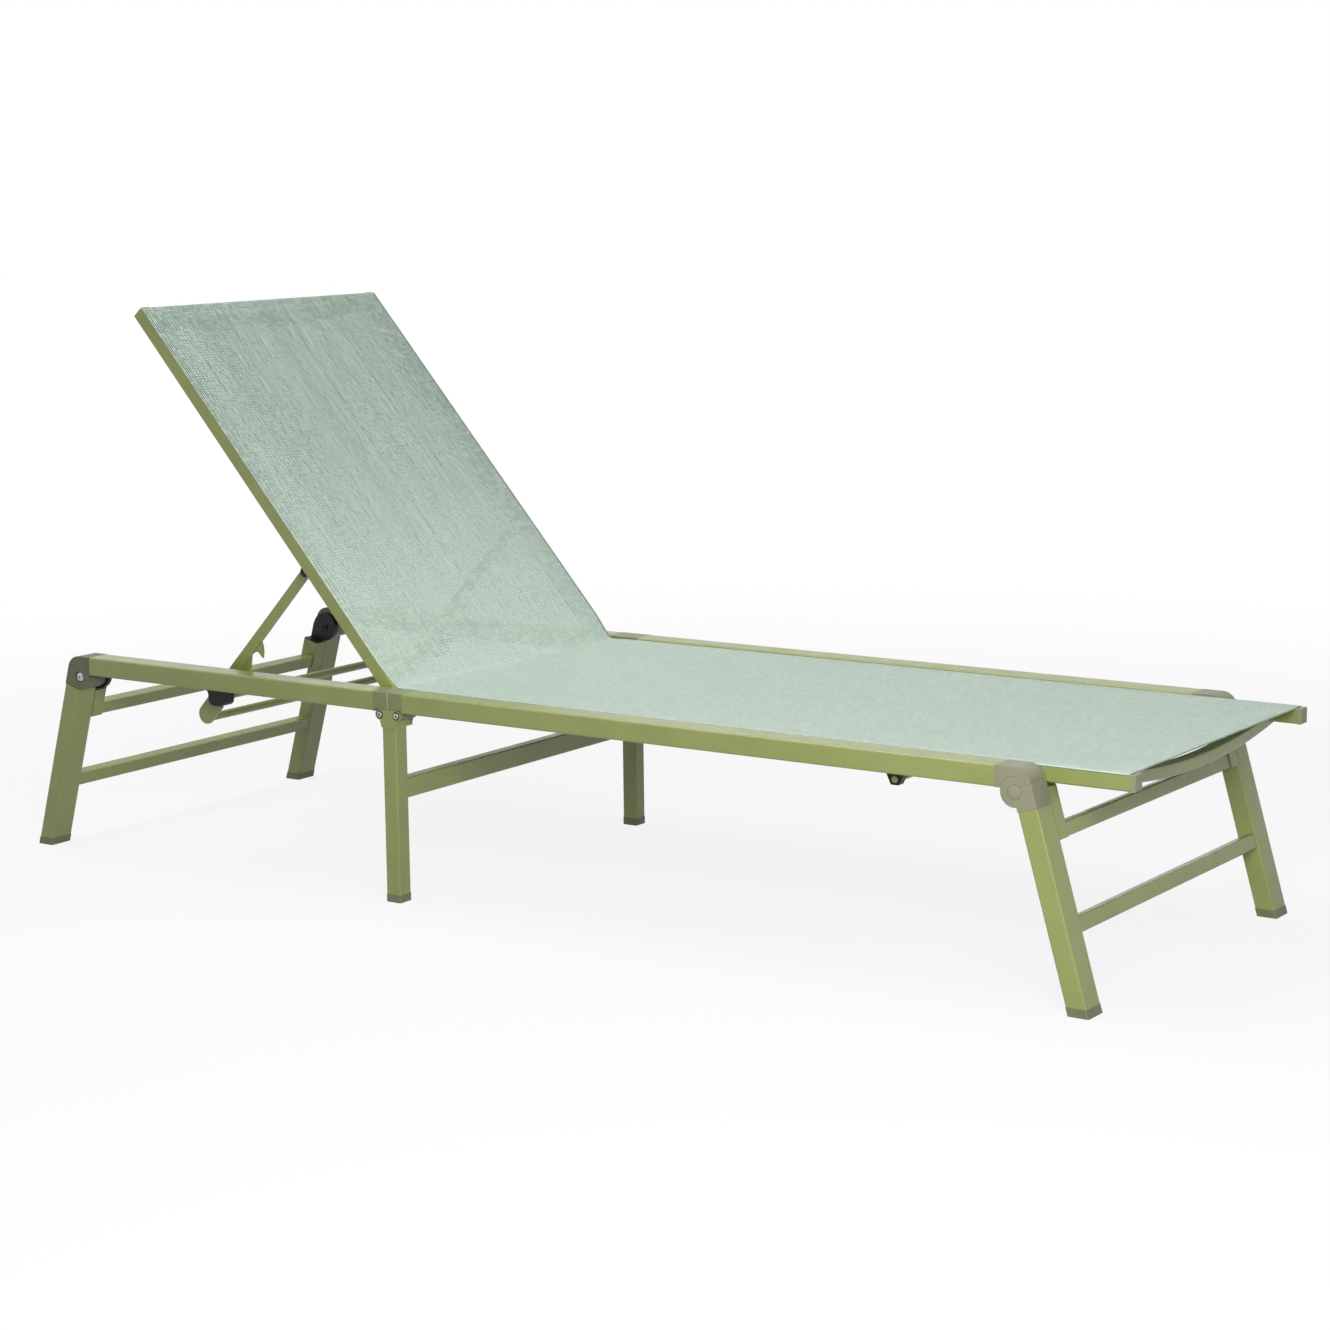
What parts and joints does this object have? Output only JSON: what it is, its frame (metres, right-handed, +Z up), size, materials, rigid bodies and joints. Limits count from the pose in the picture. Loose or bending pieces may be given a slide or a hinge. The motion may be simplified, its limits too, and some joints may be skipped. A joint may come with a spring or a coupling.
{
  "type": "folding sun lounger",
  "caption": "Folding sun lounger with a tubular aluminium frame, taut mesh sling, propped adjustable backrest and splayed folding legs with crossbars.",
  "frame": {"origin": "on the ground, under the middle of the lounger's length and width", "axes": "+X towards the foot end, +Y towards the far side, +Z up"},
  "size_m": [1.9838, 0.661, 0.8937],
  "materials": {
    "frame_paint": "sage green powder coat, satin",
    "hinge_plastic": "moulded nylon, satin",
    "black_plastic": "moulded nylon, matte",
    "sling": "coated mesh weave"
  },
  "bodies": {
    "seat_frame": {"seat_outer_rail_near": "frame_paint", "seat_outer_rail_far": "frame_paint", "seat_inner_rail_near": "frame_paint", "seat_inner_rail_far": "frame_paint", "foot_cap_near": "hinge_plastic", "foot_cap_far": "hinge_plastic", "seat_hinge_block_near": "hinge_plastic", "seat_hinge_block_far": "hinge_plastic", "front_hub_rail_near": "hinge_plastic", "front_hub_rail_far": "hinge_plastic", "back_hinge_plate_near": "black_plastic", "back_hinge_plate_far": "black_plastic", "seat_rod_bracket_near": "black_plastic", "seat_rod_bracket_far": "black_plastic", "seat_rod": "frame_paint", "foot_crossbar": "frame_paint", "seat_sling": "sling"},
    "head_frame": {"head_rail_near": "frame_paint", "head_rail_far": "frame_paint", "head_hinge_block_near": "hinge_plastic", "head_hinge_block_far": "hinge_plastic", "rear_corner_near": "hinge_plastic", "rear_corner_far": "hinge_plastic", "ratchet_bracket_near": "black_plastic", "ratchet_bracket_far": "black_plastic", "ratchet_rod": "frame_paint"},
    "mid_legs": {"mid_leg_near": "frame_paint", "mid_leg_far": "frame_paint", "mid_leg_head_near": "frame_paint", "mid_leg_head_far": "frame_paint", "mid_foot_near": "hinge_plastic", "mid_foot_far": "hinge_plastic", "mid_crossbar": "frame_paint"},
    "front_legs": {"front_leg_near": "frame_paint", "front_leg_far": "frame_paint", "front_foot_near": "hinge_plastic", "front_foot_far": "hinge_plastic", "front_hub_leg_near": "hinge_plastic", "front_hub_leg_far": "hinge_plastic", "front_pad_near": "black_plastic", "front_pad_far": "black_plastic", "front_upper_bar": "frame_paint", "front_lower_bar": "frame_paint"},
    "rear_legs": {"rear_leg_near": "frame_paint", "rear_leg_far": "frame_paint", "rear_foot_near": "hinge_plastic", "rear_foot_far": "hinge_plastic", "rear_ear_near": "black_plastic", "rear_ear_far": "black_plastic", "rear_upper_bar": "frame_paint", "rear_lower_bar": "frame_paint"},
    "backrest": {"back_rail_near": "frame_paint", "back_rail_far": "frame_paint", "prop_bracket_near": "black_plastic", "prop_bracket_far": "black_plastic", "back_top_bar": "frame_paint", "back_sling": "sling"},
    "prop": {"prop_arm_near": "frame_paint", "prop_arm_far": "frame_paint", "prop_rod": "frame_paint"}
  },
  "joints": [
    {"name": "backrest_recline", "type": "hinge", "parent": "seat_frame", "child": "backrest", "pos_m": [-0.25107, 0, 0.3115], "axis": [0, -1, 0], "range_deg": [0, 47]},
    {"name": "prop_swing", "type": "hinge", "parent": "backrest", "child": "prop", "pos_m": [-0.44211, 0, 0.48796], "axis": [0, 1, 0], "range_deg": [0, 95]},
    {"name": "front_leg_fold", "type": "hinge", "parent": "seat_frame", "child": "front_legs", "pos_m": [0.83893, 0, 0.292], "axis": [0, 1, 0], "range_deg": [0, 96]},
    {"name": "frame_fold", "type": "hinge", "parent": "seat_frame", "child": "mid_legs", "pos_m": [-0.21007, 0, 0.2915], "axis": [0, -1, 0], "range_deg": [0, 85]},
    {"name": "head_fold", "type": "hinge", "parent": "mid_legs", "child": "head_frame", "pos_m": [-0.24207, 0, 0.2915], "axis": [0, -1, 0], "range_deg": [0, 85]},
    {"name": "rear_leg_fold", "type": "hinge", "parent": "head_frame", "child": "rear_legs", "pos_m": [-0.87907, 0, 0.292], "axis": [0, -1, 0], "range_deg": [0, 99.03]}
  ],
  "couplings": [
    {"joint": "prop_swing", "follows": "backrest_recline", "ratio": 2.02},
    {"joint": "head_fold", "follows": "frame_fold", "ratio": 1},
    {"joint": "rear_leg_fold", "follows": "frame_fold", "ratio": 1.165}
  ]
}
